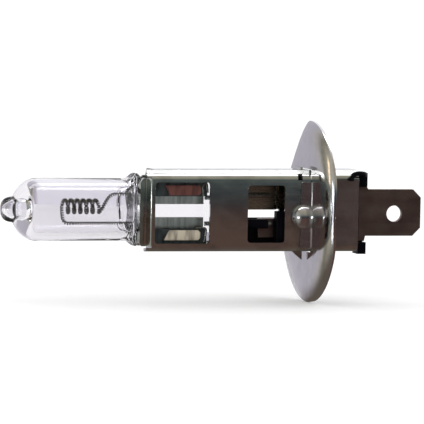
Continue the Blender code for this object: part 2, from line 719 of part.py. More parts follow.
def flange(steel):
    """The prefocus flange."""
    shape = bmesh.new()
    front = flange_side(shape, FLANGE_FACE_X)
    back = flange_side(shape, FLANGE_FACE_X + FLANGE_THICKNESS)
    for i in range(FLANGE_SEGMENTS):
        following = (i + 1) % FLANGE_SEGMENTS
        shape.faces.new((front[i], front[following], back[following], back[i]))
    disc = add_object("flange_ring", shape, steel)
    for face in (-1, 1):
        combine(disc, "UNION", collar(face))
    passage_y = BOX_HALF_DEPTH + FLANGE_GAP
    top = BOX_HALF_HEIGHT + SHEET + NEST_GAP + FLANGE_GAP
    bottom = -BOX_HALF_HEIGHT - FLANGE_GAP
    passage = block("box_passage", (-4 * MM, 4 * MM), (-passage_y, passage_y), (bottom, top))
    combine(disc, "DIFFERENCE", passage)
    return disc


def collar(face):
    """A collar turned up from the disc along the holder's wall, with the domed boss in its middle."""
    disc_x = FLANGE_FACE_X + FLANGE_THICKNESS / 2
    middle = BOX_HALF_DEPTH + FLANGE_GAP + COLLAR_THICKNESS / 2
    path = [(COLLAR_X, middle), (disc_x, middle), (disc_x, middle + 1.2 * MM)]
    path = [(x, face * y) for x, y in path]
    profile = sheet_outline(rounded_path(path, COLLAR_BEND), COLLAR_THICKNESS - 0.04 * MM)
    plate = extrude(f"collar_{face}", profile, "Z", *COLLAR_Z)
    shape = bmesh.new()
    bmesh.ops.create_uvsphere(shape, u_segments=28, v_segments=14, radius=BOSS_RADIUS)
    bmesh.ops.translate(shape, vec=(BOSS_X, face * BOSS_Y, BOSS_Z), verts=shape.verts)
    combine(plate, "UNION", add_object(f"boss_{face}", shape))
    return plate


def blade(brass):
    """The terminal: blade, wide root and tail, blanked from one sheet."""
    half, root = BLADE_WIDTH / 2, ROOT_WIDTH / 2
    cut = BLADE_CHAMFER
    outline = [
        (TAIL_X, TAIL_Z[0]),
        (ROOT_X, TAIL_Z[0]),
        (ROOT_X, BLADE_Z - root),
        (BLADE_SHOULDER_X - 0.1 * MM, BLADE_Z - root),
        (BLADE_SHOULDER_X + 0.05 * MM, BLADE_Z - half),
        (BLADE_END_X - cut, BLADE_Z - half),
        (BLADE_END_X, BLADE_Z - half + cut),
        (BLADE_END_X, BLADE_Z + half - cut),
        (BLADE_END_X - cut, BLADE_Z + half),
        (BLADE_SHOULDER_X + 0.35 * MM, BLADE_Z + half),
        (BLADE_SHOULDER_X, BLADE_Z + root),
        (ROOT_X, BLADE_Z + root),
        (ROOT_X, TAIL_Z[1]),
        (TAIL_X, TAIL_Z[1]),
    ]
    plate = extrude("terminal_blade", outline, "Y", -BLADE_THICKNESS / 2, BLADE_THICKNESS / 2, brass)
    shape = bmesh.new()
    bmesh.ops.create_cone(
        shape,
        cap_ends=True,
        segments=32,
        radius1=BLADE_HOLE_RADIUS,
        radius2=BLADE_HOLE_RADIUS,
        depth=4 * BLADE_THICKNESS,
    )
    hole = add_object("blade_hole_cutter", shape)
    hole.rotation_euler = (math.pi / 2, 0, 0)
    hole.location = (BLADE_HOLE_X, 0, BLADE_HOLE_Z)
    combine(plate, "DIFFERENCE", hole)
    return plate


def ground_strap(steel):
    """The strap that joins the upper lead to the back shell's wall."""
    wall = BOX_HALF_DEPTH - SHEET - NEST_GAP - STRAP_THICKNESS / 2
    path = [
        (STRAP_X[0], STRAP_Y),
        (STRAP_X[1] - 1.0 * MM, STRAP_Y),
        (STRAP_X[1] - 0.35 * MM, wall),
        (STRAP_X[1] + 1.3 * MM, wall),
    ]
    outline = sheet_outline(rounded_path(path, 0.3 * MM), STRAP_THICKNESS)
    return extrude("ground_strap", outline, "Z", *STRAP_Z, steel)


def insulator_half(name, face, start_x, step_z, moulding):
    """One L-shaped half of the insulator, from the second window to the holder's rear mouth."""
    inner = BLADE_THICKNESS / 2 + INSULATOR_GAP
    low_y, high_y = sorted((face * inner, face * (inner + INSULATOR_THICKNESS)))
    bottom, top = -INSULATOR_HALF_HEIGHT, INSULATOR_HALF_HEIGHT
    outline = [
        (start_x, bottom),
        (INSULATOR_END_X, bottom),
        (INSULATOR_END_X, top),
        (INSULATOR_STEP_X, top),
        (INSULATOR_STEP_X, step_z),
        (start_x, step_z),
    ]
    return extrude(name, outline, "Y", low_y, high_y, moulding)


def insulator(moulding):
    """Both halves. The back one has an ear below the blade's root, and one above it with a hook."""
    insulator_half("insulator_front", -1, FRONT_INSULATOR_X, FRONT_STEP_Z, moulding)
    back = insulator_half("insulator_back", 1, BACK_INSULATOR_X, BACK_STEP_Z, moulding)
    inner = BLADE_THICKNESS / 2 + INSULATOR_GAP
    outer = inner + 0.7 * MM
    root_low = BLADE_Z - ROOT_WIDTH / 2 - INSULATOR_GAP
    root_high = BLADE_Z + ROOT_WIDTH / 2 + INSULATOR_GAP
    web_z = (-BOX_HALF_HEIGHT + 2 * SHEET, UPPER_EAR_Z - 0.4 * MM)
    web = block("ear_web", (INSULATOR_END_X - 0.3 * MM, EAR_X[1]), (inner, outer), web_z)
    lower = block("lower_ear", EAR_X, (-2 * inner, outer), (LOWER_EAR_Z, root_low))
    combine(back, "UNION", web, lower, upper_ear(root_high, inner, outer), hook(root_high))
    return back


def upper_ear(root_high, inner, outer):
    """The ear above the blade's root: it reaches down a little in front of the root, and its top slopes."""
    outline = [
        (-outer, root_high - UPPER_EAR_DROP),
        (-inner, root_high - UPPER_EAR_DROP),
        (-inner, root_high),
        (outer, root_high),
        (outer, UPPER_EAR_Z - 0.3 * MM),
        (0.3 * MM, UPPER_EAR_Z),
        (-outer, UPPER_EAR_Z),
    ]
    return extrude("upper_ear", outline, "X", *EAR_X)


def hook(root_high):
    """The hook, from the upper ear round the holder's rear top corner to its front face."""
    front = -BOX_HALF_DEPTH - FLANGE_GAP - HOOK_RADIUS
    x, z = HOOK_END
    top = UPPER_EAR_Z - 0.1 * MM
    points = smooth_route(
        [
            (EAR_X[1] - 0.45 * MM, 0.0, top - 0.4 * MM),
            (EAR_X[1] - 0.6 * MM, -1.3 * MM, top - 0.05 * MM),
            (EAR_X[1] - 0.95 * MM, front * 0.85, top + 0.05 * MM),
            (x + 1.05 * MM, front, top + 0.15 * MM),
            (x + 0.4 * MM, front, top + 0.05 * MM),
            (x + 0.02 * MM, front, top - 0.35 * MM),
            (x, front, z),
        ],
        4,
    )
    shape = bmesh.new()
    sides = 10
    rings = []
    for i, point in enumerate(points):
        along = (points[min(i + 1, len(points) - 1)] - points[max(i - 1, 0)]).normalized()
        first = along.cross(Vector((-0.5, 0.6, 0.6))).normalized()
        second = along.cross(first)
        ring = []
        for j in range(sides):
            angle = math.tau * j / sides
            outwards = first * math.cos(angle) + second * math.sin(angle)
            ring.append(shape.verts.new(point + HOOK_RADIUS * outwards))
        rings.append(ring)
    for one, two in zip(rings, rings[1:]):
        for j in range(sides):
            k = (j + 1) % sides
            shape.faces.new((one[j], one[k], two[k], two[j]))
    shape.faces.new(rings[0])
    shape.faces.new(rings[-1])
    return add_object("hook", shape)


def main():
    clear_scene()
    quartz = make_material("quartz", (0.95, 0.95, 0.96), 0.03, transmission=1.0)
    tungsten = make_material("tungsten", (0.16, 0.16, 0.15), 0.45, 1.0)
    molybdenum = make_material("molybdenum", (0.3, 0.32, 0.31), 0.35, 1.0)
    plated_steel = make_material("plated_steel", (0.62, 0.62, 0.6), 0.18, 1.0)
    plated_brass = make_material("plated_brass", (0.45, 0.42, 0.4), 0.25, 1.0)
    moulding = make_material("black_moulding", (0.02, 0.02, 0.025), 0.5)
    braid = make_material("sleeve_braid", (0.08, 0.08, 0.12), 0.8)
    capsule(quartz)
    filament(tungsten)
    leg_jackets(tungsten)
    inner_leads(molybdenum)
    foils(molybdenum)
    outer_leads(molybdenum, braid)
    holder(plated_steel)
    flange(plated_steel)
    blade(plated_brass)
    ground_strap(plated_steel)
    insulator(moulding)


main()
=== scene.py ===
"""Looks for the headlight bulb: materials, fine pieces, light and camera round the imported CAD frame."""

import math

import bmesh
import bpy
from mathutils import Matrix, Vector


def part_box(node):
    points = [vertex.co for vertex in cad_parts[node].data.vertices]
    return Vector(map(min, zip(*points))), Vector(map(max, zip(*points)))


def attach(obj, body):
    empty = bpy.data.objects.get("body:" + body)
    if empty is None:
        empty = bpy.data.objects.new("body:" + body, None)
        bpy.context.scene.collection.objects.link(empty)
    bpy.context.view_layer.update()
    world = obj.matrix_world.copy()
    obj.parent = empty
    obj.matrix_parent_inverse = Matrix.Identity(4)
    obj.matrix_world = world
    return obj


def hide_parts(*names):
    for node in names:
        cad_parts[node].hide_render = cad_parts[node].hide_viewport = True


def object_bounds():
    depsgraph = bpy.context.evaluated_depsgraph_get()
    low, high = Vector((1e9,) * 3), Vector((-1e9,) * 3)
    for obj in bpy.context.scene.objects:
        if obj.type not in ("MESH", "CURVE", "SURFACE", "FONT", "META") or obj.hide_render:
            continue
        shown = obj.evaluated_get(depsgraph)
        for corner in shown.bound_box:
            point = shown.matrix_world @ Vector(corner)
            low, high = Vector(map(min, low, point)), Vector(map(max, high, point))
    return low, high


MM = 0.001

# Camera: a long lens, a little above and to the glass end's side of the bulb.
CAMERA_AZIMUTH = -17.0
CAMERA_ELEVATION = 4.0
CAMERA_DISTANCE = 1.0
SENSOR = 36.0
VIEW_WIDTH = 57.07 * MM  # how much the picture spans at the bulb
ORIGIN_RIGHT = 12.44 * MM  # the bulb's origin in the picture, from its middle
ORIGIN_UP = 0.1 * MM

# Capsule: its outside repeats the CAD source. Its cavity reaches further into the tip, with a wider
# pocket there, and stops sooner in the pinch.
TUBE_RADIUS = 4.2 * MM
BORE_RADIUS = 3.15 * MM
TIP_X = -42.33 * MM
TIP_LENGTH = 2.0 * MM
TIP_RADIUS = 1.72 * MM
DOME_X = -37.4 * MM
DOME_LENGTH = 3.55 * MM
CAVITY_X = -37.0 * MM  # where the bore turns into its rounded end
CAVITY_CORNER = 1.8 * MM
POCKET_RADIUS = 1.2 * MM
POCKET_LENGTH = 4.6 * MM
SHOULDER_X = (-25.3 * MM, -23.95 * MM)
PINCH_EAR_X = -23.9 * MM
PINCH_FLAT_X = -23.0 * MM
PINCH_END_X = -13.7 * MM
PINCH_HALF_THICKNESS = 1.4 * MM
PINCH_HALF_WIDTH = 4.2 * MM
PINCH_EAR_HALF_WIDTH = 4.9 * MM
TROUGH_X = (-25.1 * MM, -24.0 * MM)
TROUGH_END_X = -23.6 * MM
TROUGH_HALF_THICKNESS = 0.8 * MM
TROUGH_HALF_WIDTH = 3.5 * MM
RING_POINTS = 96

# Raised ribs on the pinch's front face only, each on a dark plate of painted shade round it. The CAD has
# ribs on both faces, and its upper one lies 0.6 mm higher.
RIB_X = (-20.15 * MM, -15.1 * MM)
RIB_HALF_HEIGHT = 0.68 * MM
RIB_LEVELS = {"upper": 2.93 * MM, "lower": -3.1 * MM}
RIB_Y = (-1.78 * MM, -1.43 * MM)
HALO_X = (-21.7 * MM, -14.15 * MM)
HALO_Y = (-1.43 * MM, -1.405 * MM)
HALO_HALF_HEIGHT = 1.07 * MM
HALO_SHIFT = 0.25 * MM  # outwards from the rib

# Filament: its route follows the CAD source, with the coil 0.2 mm nearer the flange, and is wound of finer
# wire with no core inside.
CAPSULE_RISE = 0.27 * MM
COIL_START_X = -33.8 * MM
COIL_PITCH = 0.85 * MM
COIL_RADIUS = 0.83 * MM
COIL_TURNS = 5.75
COIL_AXIS_Z = 0.67 * MM
COIL_POINTS_PER_TURN = 40
UPPER_LEG_Z = 2.34 * MM
LOWER_LEG_Z = -1.63 * MM
UPPER_LEG_END_X = -24.3 * MM
LOWER_LEG_END_X = -24.1 * MM
WINDING_PITCH = 0.34 * MM
COIL_WINDING_RADIUS = 0.19 * MM
LEG_WINDING_RADIUS = 0.16 * MM
WINDING_WIRE = 0.09 * MM
WINDING_POINTS = 9  # in each turn of the fine wire

# Bent ends of the leads.
WELD_X = -14.2 * MM
WELD_Y = -1.55 * MM
WELD_WIRE_RADIUS = 0.14 * MM

# Finish of the cut and pressed edges.
SHEET_EDGE = 0.12 * MM
FLANGE_EDGE = 0.04 * MM
SHEARED_EDGE = 0.18 * MM
BLADE_EDGE = 0.05 * MM
MOULDED_EDGE = 0.12 * MM
ROUNDING_SEGMENTS = 3

# Sleeve braid.
SLEEVE_STRANDS = 8
SLEEVE_TURNS = 3.0
STRAND_RADIUS = 0.05 * MM
BRAID_POINTS = 24  # in each turn of a strand

# Colours and forms of the finishes.
PLATE = (0.66, 0.68, 0.65)
DISC_PLATE = (0.72, 0.71, 0.73)
STRAP_PLATE = (0.5, 0.47, 0.36)
TUNGSTEN = (0.2, 0.2, 0.18)
MOLYBDENUM = (0.42, 0.45, 0.43)
MOULDING = (0.002, 0.002, 0.004)
WORN_MOULDING = (0.005, 0.005, 0.008)
QUARTZ_IOR = 1.38
QUARTZ_TINT = (0.83, 0.815, 0.85)
SHELL_CROWN = 30.0  # curvature of the holder's wide faces, in 1/m
CROWN_END_X = (0.3 * MM, 3.3 * MM)  # they are flat again behind the flange
LIP_X = (-22.85 * MM, 6.7 * MM)
LIP_SECTION = ((-2.35 * MM, 5.2 * MM), (-1.79 * MM, 5.67 * MM), (-1.79 * MM, 5.2 * MM))  # y, z
RIM_START = 7.0 * MM  # where the bump on the flange starts to fall away
RIM_CURVE = 43.0  # and how much, in 1/m

# Studio.
FLOOR_SIZE = 0.6
STUDIO_WHITE = (1.04, 1.04, 1.04)

# The tinted room that glossy rays see: in front by height, behind from left to right.
ROOM_FRONT = [
    (-1.0, (0.12, 0.08, 0.07)),
    (-0.3, (0.11, 0.066, 0.055)),
    (-0.12, (0.1, 0.06, 0.05)),
    (-0.05, (0.07, 0.047, 0.046)),
    (0.03, (0.042, 0.044, 0.052)),
    (0.16, (0.065, 0.08, 0.082)),
    (0.3, (0.15, 0.175, 0.165)),
    (0.5, (0.32, 0.3, 0.235)),
    (0.8, (0.38, 0.35, 0.28)),
    (1.0, (0.5, 0.47, 0.41)),
]
ROOM_BACK = [
    (-1.0, (0.4, 0.42, 0.38)),
    (-0.8, (0.5, 0.47, 0.38)),
    (-0.62, (0.2, 0.19, 0.14)),
    (-0.48, (0.5, 0.48, 0.46)),
    (-0.35, (0.49, 0.475, 0.53)),
    (0.0, (0.6, 0.58, 0.63)),
    (0.2, (1.02, 1.02, 1.06)),
    (1.0, (1.02, 1.02, 1.06)),
]
ROOM_LEFT = (0.34, 0.37, 0.34)
ROOM_BELOW = (0.13, 0.11, 0.09)


def nodes_of(material):
    """The nodes and links of a material or world."""
    return material.node_tree.nodes, material.node_tree.links


def new_material(name, colour, roughness, metallic=0.0, **inputs):
    """A Principled material; further inputs are given by their names, with underscores for spaces."""
    material = bpy.data.materials.new(name)
    material.use_nodes = True
    shader = material.node_tree.nodes["Principled BSDF"]
    shader.inputs["Base Color"].default_value = (*colour, 1.0)
    shader.inputs["Roughness"].default_value = roughness
    shader.inputs["Metallic"].default_value = metallic
    for label, value in inputs.items():
        shader.inputs[label.replace("_", " ")].default_value = value
    return material, shader


def add_noise(material, scale, detail=4.0, stretch=(1, 1, 1), distortion=0.0):
    """A noise texture in object coordinates, stretched along an axis for brushed or rolled marks."""
    nodes, links = nodes_of(material)
    place = nodes.new("ShaderNodeTexCoord")
    mapping = nodes.new("ShaderNodeMapping")
    mapping.inputs["Scale"].default_value = stretch
    noise = nodes.new("ShaderNodeTexNoise")
    noise.inputs["Scale"].default_value = scale
    noise.inputs["Detail"].default_value = detail
    noise.inputs["Distortion"].default_value = distortion
    links.new(place.outputs["Object"], mapping.inputs["Vector"])
    links.new(mapping.outputs["Vector"], noise.inputs["Vector"])
    return noise


def add_ramp(material, source, stops):
    """A colour ramp driven by a source socket; each stop is (position, colour or grey)."""
    nodes, links = nodes_of(material)
    ramp = nodes.new("ShaderNodeValToRGB")
    elements = ramp.color_ramp.elements
    while len(elements) < len(stops):
        elements.new(0.5)
    for element, (position, colour) in zip(elements, stops):
        element.position = position
        if not hasattr(colour, "__len__"):
            colour = (colour, colour, colour)
        element.color = (*colour, 1.0)
    links.new(source, ramp.inputs["Fac"])
    return ramp


def add_bump(material, shader, source, strength, distance):
    """Joins a height to the shader's normal."""
    nodes, links = nodes_of(material)
    bump = nodes.new("ShaderNodeBump")
    bump.inputs["Strength"].default_value = strength
    bump.inputs["Distance"].default_value = distance
    links.new(source, bump.inputs["Height"])
    links.new(bump.outputs["Normal"], shader.inputs["Normal"])


def object_coordinate(material, axis):
    """One of the object's own coordinates, in metres."""
    nodes, links = nodes_of(material)
    place = nodes.new("ShaderNodeTexCoord")
    split = nodes.new("ShaderNodeSeparateXYZ")
    links.new(place.outputs["Object"], split.inputs["Vector"])
    return split.outputs[axis]


def math_node(material, operation, first, second):
    """A math node on two sockets or numbers; gives its output."""
    nodes, links = nodes_of(material)
    node = nodes.new("ShaderNodeMath")
    node.operation = operation
    for value, socket in zip((first, second), node.inputs):
        if isinstance(value, bpy.types.NodeSocket):
            links.new(value, socket)
        else:
            socket.default_value = value
    return node.outputs["Value"]


def crown(material):
    """A height that falls off on both sides of a level line, as sheet does that springs back when bent."""
    level = object_coordinate(material, "Z")
    square = math_node(material, "MULTIPLY", level, level)
    nodes, links = nodes_of(material)
    fade = nodes.new("ShaderNodeMapRange")
    fade.interpolation_type = "SMOOTHSTEP"
    fade.inputs["From Min"].default_value = CROWN_END_X[0]
    fade.inputs["From Max"].default_value = CROWN_END_X[1]
    fade.inputs["To Min"].default_value = -SHELL_CROWN / 2
    fade.inputs["To Max"].default_value = 0.0
    links.new(object_coordinate(material, "X"), fade.inputs["Value"])
    return math_node(material, "MULTIPLY", square, fade.outputs["Result"])


def rolled_rim(material):
    """A height that falls off outwards from a radius round the X axis."""
    across, up = object_coordinate(material, "Y"), object_coordinate(material, "Z")
    square = math_node(
        material,
        "ADD",
        math_node(material, "MULTIPLY", across, across),
        math_node(material, "MULTIPLY", up, up),
    )
    beyond = math_node(material, "SUBTRACT", math_node(material, "SQRT", square, 0.0), RIM_START)
    beyond = math_node(material, "MAXIMUM", beyond, 0.0)
    return math_node(material, "MULTIPLY", math_node(material, "MULTIPLY", beyond, beyond), -RIM_CURVE / 2)


def plated_steel(name, colour, roughness, form=None, dullness=0.8):
    """Bright plate over rolled sheet: fine scratches along the bulb, dull blotches and small pits."""
    dark = tuple(dullness * channel for channel in colour)
    material, shader = new_material(name, colour, roughness, 1.0)
    _, links = nodes_of(material)
    blotch = add_noise(material, 420.0, 6.0, (0.6, 1.0, 1.0), 0.4)
    tint = add_ramp(material, blotch.outputs["Fac"], [(0.38, dark), (0.56, colour)])
    links.new(tint.outputs["Color"], shader.inputs["Base Color"])
    grain = add_noise(material, 1500.0, 6.0, (0.1, 1.0, 1.0))
    rough = add_ramp(material, grain.outputs["Fac"], [(0.3, roughness * 0.7), (0.75, roughness * 1.5)])
    links.new(rough.outputs["Color"], shader.inputs["Roughness"])
    fine = math_node(material, "MULTIPLY", grain.outputs["Fac"], 0.0012 * MM)
    waves = math_node(material, "MULTIPLY", blotch.outputs["Fac"], 0.005 * MM)
    height = math_node(material, "ADD", fine, waves)
    if form:
        height = math_node(material, "ADD", height, form(material))
    add_bump(material, shader, height, 1.0, 1.0)
    return material


def blade_metal():
    """Brass with rolling marks, darkened to a deep brown by painted shade."""
    # Painted shade: the brass base colour and both patch tones are darkened to brown.
    material, shader = new_material("blade_look", (0.3, 0.24, 0.22), 0.35, 1.0)
    _, links = nodes_of(material)
    grain = add_noise(material, 900.0, 6.0, (0.15, 1.0, 1.0))
    patch = add_noise(material, 300.0, 4.0)
    tint = add_ramp(material, patch.outputs["Fac"], [(0.35, (0.25, 0.19, 0.17)), (0.65, (0.36, 0.29, 0.26))])
    links.new(tint.outputs["Color"], shader.inputs["Base Color"])
    rough = add_ramp(material, grain.outputs["Fac"], [(0.3, 0.25), (0.75, 0.5)])
    links.new(rough.outputs["Color"], shader.inputs["Roughness"])
    add_bump(material, shader, grain.outputs["Fac"], 0.3, 0.01 * MM)
    return material


def drawn_wire(name, colour, roughness):
    """Drawn wire: dull, with darker streaks."""
    material, shader = new_material(name, colour, roughness, 1.0)
    _, links = nodes_of(material)
    dark = tuple(0.55 * channel for channel in colour)
    grain = add_noise(material, 3000.0, 3.0)
    tint = add_ramp(material, grain.outputs["Fac"], [(0.35, dark), (0.65, colour)])
    links.new(tint.outputs["Color"], shader.inputs["Base Color"])
    rough = add_ramp(material, grain.outputs["Fac"], [(0.3, roughness * 0.8), (0.7, roughness * 1.3)])
    links.new(rough.outputs["Color"], shader.inputs["Roughness"])
    return material


def foil():
    """Rolled molybdenum foil, crinkled across its width where the quartz was pressed on it."""
    material, shader = new_material("foil_look", (0.3, 0.34, 0.31), 0.4, 1.0)
    _, links = nodes_of(material)
    crinkle = add_noise(material, 900.0, 4.0, (1.6, 1.0, 0.12))
    tint = add_ramp(material, crinkle.outputs["Fac"], [(0.35, (0.2, 0.23, 0.21)), (0.6, (0.38, 0.42, 0.39))])
    links.new(tint.outputs["Color"], shader.inputs["Base Color"])
    add_bump(material, shader, crinkle.outputs["Fac"], 0.6, 0.03 * MM)
    return material


def moulding():
    """Black phenolic moulding with a fine grain and worn, duller patches."""
    material, shader = new_material("black_moulding_look", MOULDING, 0.42, Specular_IOR_Level=0.05)
    _, links = nodes_of(material)
    grain = add_noise(material, 1800.0, 4.0)
    wear = add_noise(material, 350.0, 3.0)
    tint = add_ramp(material, wear.outputs["Fac"], [(0.4, MOULDING), (0.7, WORN_MOULDING)])
    links.new(tint.outputs["Color"], shader.inputs["Base Color"])
    rough = add_ramp(material, wear.outputs["Fac"], [(0.3, 0.32), (0.7, 0.55)])
    links.new(rough.outputs["Color"], shader.inputs["Roughness"])
    add_bump(material, shader, grain.outputs["Fac"], 0.3, 0.02 * MM)
    return material


def quartz():
    """Clear quartz, faintly grey, with drawing lines along the tube."""
    inputs = {"Transmission_Weight": 1.0, "IOR": QUARTZ_IOR}
    material, shader = new_material("quartz_look", QUARTZ_TINT, 0.0, 0.0, **inputs)
    lines = add_noise(material, 260.0, 2.0, (0.15, 1.0, 1.0))
    add_bump(material, shader, lines.outputs["Fac"], 0.25, 0.02 * MM)
    return material


def superellipse_drop(distance, length, power):
    """How much of its full radius a rounded end keeps at a distance into its length."""
    share = min(max(distance / length, 0.0), 1.0)
    return (1.0 - share**power) ** (1.0 / power)


def blend_radii(first, second):
    """The larger of two radii, with a small fillet where they are equal."""
    return (first**8 + second**8) ** 0.125


def ease(value, low, high):
    """A share that goes smoothly from 0 to 1 between two values."""
    share = min(max((value - low) / (high - low), 0.0), 1.0)
    return share * share * (3 - 2 * share)


def capsule_section(x):
    """(half depth, half height, squareness) of the capsule's outside at x."""
    dome = TUBE_RADIUS * superellipse_drop(DOME_X - x, DOME_LENGTH, 2)
    tip = TIP_RADIUS * superellipse_drop(TIP_X + TIP_LENGTH - x, TIP_LENGTH, 3)
    radius = blend_radii(dome, tip)
    pressed = ease(x, *SHOULDER_X)
    spread = ease(x, SHOULDER_X[0] + 0.4 * MM, PINCH_EAR_X) * (PINCH_EAR_HALF_WIDTH - radius)
    drawn_in = ease(x, PINCH_EAR_X, PINCH_FLAT_X) * (PINCH_EAR_HALF_WIDTH - PINCH_HALF_WIDTH)
    depth = radius + pressed * (PINCH_HALF_THICKNESS - radius)
    return depth, radius + spread - drawn_in, 2 + 5 * pressed


def cavity_section(x):
    """(half depth, half height, squareness) of the space inside the capsule at x."""
    end = BORE_RADIUS * superellipse_drop(CAVITY_X - x, CAVITY_CORNER, 3)
    pocket = POCKET_RADIUS * superellipse_drop(CAVITY_X - x, POCKET_LENGTH, 3)
    radius = blend_radii(end, pocket)
    pressed = ease(x, *TROUGH_X)
    closing = superellipse_drop(x - TROUGH_X[1], TROUGH_END_X - TROUGH_X[1], 2)
    depth = (radius + pressed * (TROUGH_HALF_THICKNESS - radius)) * closing
    return depth, radius + pressed * (TROUGH_HALF_WIDTH - radius) - (1 - closing) * MM, 2 + pressed


def lofted(shape, section, stations):
    """Adds a closed surface with a superelliptic ring at each station; gives its faces."""
    rings, faces = [], []
    for x in stations:
        depth, height, power = section(x)
        ring = []
        for i in range(RING_POINTS):
            angle = math.tau * i / RING_POINTS
            cosine, sine = math.cos(angle), math.sin(angle)
            y = depth * math.copysign(abs(cosine) ** (2 / power), cosine)
            z = height * math.copysign(abs(sine) ** (2 / power), sine)
            ring.append(shape.verts.new((x, y, z + CAPSULE_RISE)))
        rings.append(ring)
    for first, second in zip(rings, rings[1:]):
        for i in range(RING_POINTS):
            j = (i + 1) % RING_POINTS
            faces.append(shape.faces.new((first[i], first[j], second[j], second[i])))
    faces.append(shape.faces.new(rings[0]))
    faces.append(shape.faces.new(rings[-1]))
    return faces


def spaced(low, high, count):
    """Even stations between two values, both included."""
    return [low + (high - low) * i / count for i in range(count + 1)]


def rounded_end(tip, root, count):
    """Stations from a rounded end to its root, closer together near the end."""
    return [tip + (root - tip) * (1 - math.cos(math.pi / 2 * i / count)) for i in range(1, count)]


def smooth_capsule(material):
    """The quartz envelope as one smooth body with its cavity."""
    shape = bmesh.new()
    outside = (
        rounded_end(TIP_X, TIP_X + TIP_LENGTH, 14)
        + spaced(TIP_X + TIP_LENGTH, DOME_X, 26)
        + spaced(SHOULDER_X[0], PINCH_FLAT_X, 26)
        + [PINCH_END_X]
    )
    pocket_tip = CAVITY_X - POCKET_LENGTH
    inside = (
        rounded_end(pocket_tip, CAVITY_X - CAVITY_CORNER, 14)
        + rounded_end(CAVITY_X - CAVITY_CORNER, CAVITY_X, 12)
        + [CAVITY_X]
        + spaced(TROUGH_X[0], TROUGH_X[1], 14)
        + rounded_end(TROUGH_END_X, TROUGH_X[1], 8)[::-1]
    )
    lofted(shape, capsule_section, outside)
    cavity = lofted(shape, cavity_section, inside)
    bmesh.ops.recalc_face_normals(shape, faces=shape.faces)
    bmesh.ops.reverse_faces(shape, faces=cavity)
    capsule = add_piece("quartz_envelope", shape, material)
    capsule.data.set_sharp_from_angle(angle=math.radians(50))
    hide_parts("quartz_capsule")


def add_piece(name, shape, material):
    """Makes a smooth-shaded piece of a bmesh and puts it on the bulb."""
    mesh = bpy.data.meshes.new(name)
    shape.to_mesh(mesh)
    shape.free()
    mesh.materials.append(material)
    mesh.shade_smooth()
    piece = bpy.data.objects.new(name, mesh)
    bpy.context.scene.collection.objects.link(piece)
    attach(piece, "root")
    return piece


def plate(name, outline, y, material, width):
    """A flat plate with rounded edges between two depths; its outline is in x and z."""
    shape = bmesh.new()
    face = shape.faces.new([shape.verts.new((x, y[1], z)) for x, z in outline])
    pulled = bmesh.ops.extrude_face_region(shape, geom=[face])
    verts = [item for item in pulled["geom"] if isinstance(item, bmesh.types.BMVert)]
    bmesh.ops.translate(shape, vec=(0, y[0] - y[1], 0), verts=verts)
    bmesh.ops.recalc_face_normals(shape, faces=shape.faces)
    piece = add_piece(name, shape, material)
    rounding = piece.modifiers.new("rounding", "BEVEL")
    rounding.width = width
    rounding.segments = ROUNDING_SEGMENTS
    rounding.harden_normals = True


def rib_outline(side, level):
    """A rib's outline: square outer corners, one long chamfer at the glass end, small ones at the other."""
    (left, right), small, long = RIB_X, 0.3 * MM, 0.7 * MM
    outer, inner = level + side * RIB_HALF_HEIGHT, level - side * RIB_HALF_HEIGHT
    return [
        (left, outer),
        (right - small, outer),
        (right, outer - side * small),
        (right, inner + side * small),
        (right - small, inner),
        (left + long, inner),
    ]


def rib_look(name, colour, roughness):
    """A plate standing for the pinch's quartz, with darker streaks across it; its colour is painted light
    and shade.
    """
    material, shader = new_material(name, colour, roughness)
    _, links = nodes_of(material)
    dark = tuple(0.45 * channel for channel in colour)
    streaks = add_noise(material, 1300.0, 5.0, (1.0, 1.0, 0.2))
    tint = add_ramp(material, streaks.outputs["Fac"], [(0.35, dark), (0.55, colour)])
    links.new(tint.outputs["Color"], shader.inputs["Base Color"])
    add_bump(material, shader, streaks.outputs["Fac"], 0.4, 0.02 * MM)
    return material


def pinch_ribs():
    """The two raised ribs on the pinch's front face, each on a dark plate of painted shade."""
    # Painted shade: each halo is a dark plate laid round a rib where the pinch shows only shade.
    shade_halo_look = rib_look("painted_shade_quartz_look", (0.035, 0.045, 0.045), 0.12)
    # Painted light and shade: the ribs are one clear quartz, the upper painted dark red-brown as shade, the
    # lower beige as light.
    rib_looks = {
        "upper": rib_look("upper_rib_shaded_look", (0.13, 0.045, 0.035), 0.3),
        "lower": rib_look("lower_rib_lit_look", (0.5, 0.44, 0.34), 0.3),
    }
    for name, level in RIB_LEVELS.items():
        side = math.copysign(1, level)
        low, high = level - HALO_HALF_HEIGHT, level + HALO_HALF_HEIGHT
        shift = side * HALO_SHIFT
        left, right = HALO_X
        halo = [(left, low + shift), (right, low + shift), (right, high + shift), (left, high + shift)]
        plate(f"rib_halo_{name}", halo, HALO_Y, shade_halo_look, 0.01 * MM)
        plate(f"pinch_rib_{name}", rib_outline(side, level), RIB_Y, rib_looks[name], 0.07 * MM)


def seam_lip(material):
    """The coined edge of the back channel where it lies over the front one."""
    shape = bmesh.new()
    ends = [[shape.verts.new((x, y, z)) for y, z in LIP_SECTION] for x in LIP_X]
    for i in range(3):
        j = (i + 1) % 3
        shape.faces.new((ends[0][i], ends[0][j], ends[1][j], ends[1][i]))
    shape.faces.new(ends[0])
    shape.faces.new(ends[1])
    bmesh.ops.recalc_face_normals(shape, faces=shape.faces)
    piece = add_piece("seam_lip", shape, material)
    piece.data.set_sharp_from_angle(angle=math.radians(30))


